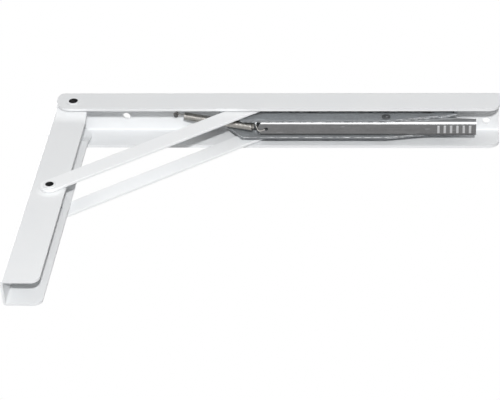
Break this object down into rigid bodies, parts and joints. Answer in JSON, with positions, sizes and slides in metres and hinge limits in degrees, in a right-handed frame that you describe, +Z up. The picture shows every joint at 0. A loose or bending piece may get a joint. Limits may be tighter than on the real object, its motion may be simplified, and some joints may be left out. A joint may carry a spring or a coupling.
{
  "type": "folding shelf bracket",
  "caption": "Folding steel shelf bracket: sheet-metal arm and wall channel, strut bars on a sliding cross pin, sprung release lever.",
  "frame": {"origin": "centre of the middle wall screw hole, on the face that meets the wall", "axes": "+X out from the wall along the arm, +Y across the bracket, +Z up towards the shelf"},
  "size_m": [0.302, 0.0322, 0.21],
  "materials": {
    "white_paint": "satin white powder coat",
    "zinc": "galvanised",
    "rivet_steel": "zinc plated",
    "spring_steel": "bright drawn wire"
  },
  "bodies": {
    "wall": {"wall_channel": "white_paint", "arm_pivot_rivet_front": "white_paint", "arm_pivot_rivet_rear": "white_paint", "strut_pivot_rivet_front": "white_paint", "strut_pivot_rivet_rear": "white_paint"},
    "arm": {"arm_channel": "white_paint", "guide_channel": "zinc", "guide_rivet_inner": "rivet_steel", "guide_rivet_outer": "rivet_steel", "lever_pivot_pin": "rivet_steel", "spring_post": "rivet_steel"},
    "strut": {"strut_bar_front": "white_paint", "strut_bar_rear": "white_paint", "cross_pin_end_front": "rivet_steel", "cross_pin_end_rear": "rivet_steel"},
    "slider": {"cross_pin": "rivet_steel", "spacer_front": "rivet_steel", "spacer_rear": "rivet_steel"},
    "lever": {"release_lever": "zinc", "lever_spring": "spring_steel"}
  },
  "joints": [
    {"name": "arm_fold", "type": "hinge", "parent": "wall", "child": "arm", "pos_m": [0.0135, 0, 0.107], "axis": [0, 1, 0], "range_deg": [0, 89]},
    {"name": "strut_swing", "type": "hinge", "parent": "wall", "child": "strut", "pos_m": [0.0135, 0, 0.009], "axis": [0, 1, 0], "range_deg": [0, 126.71]},
    {"name": "pin_slide", "type": "slide", "parent": "arm", "child": "slider", "axis": [1, 0, 0], "range_m": [0, 0.13203]},
    {"name": "release", "type": "hinge", "parent": "arm", "child": "lever", "pos_m": [0.2261, 0, 0.0998], "axis": [0, -1, 0], "range_deg": [0, 2], "stiffness_Nm_per_rad": 0.26, "springref_deg": -40.11, "deforming": ["lever_spring"]}
  ],
  "couplings": [
    {"joint": "strut_swing", "follows": "arm_fold", "ratio": 1.4236},
    {"joint": "pin_slide", "follows": "arm_fold", "m_per_rad": 0.084995}
  ]
}
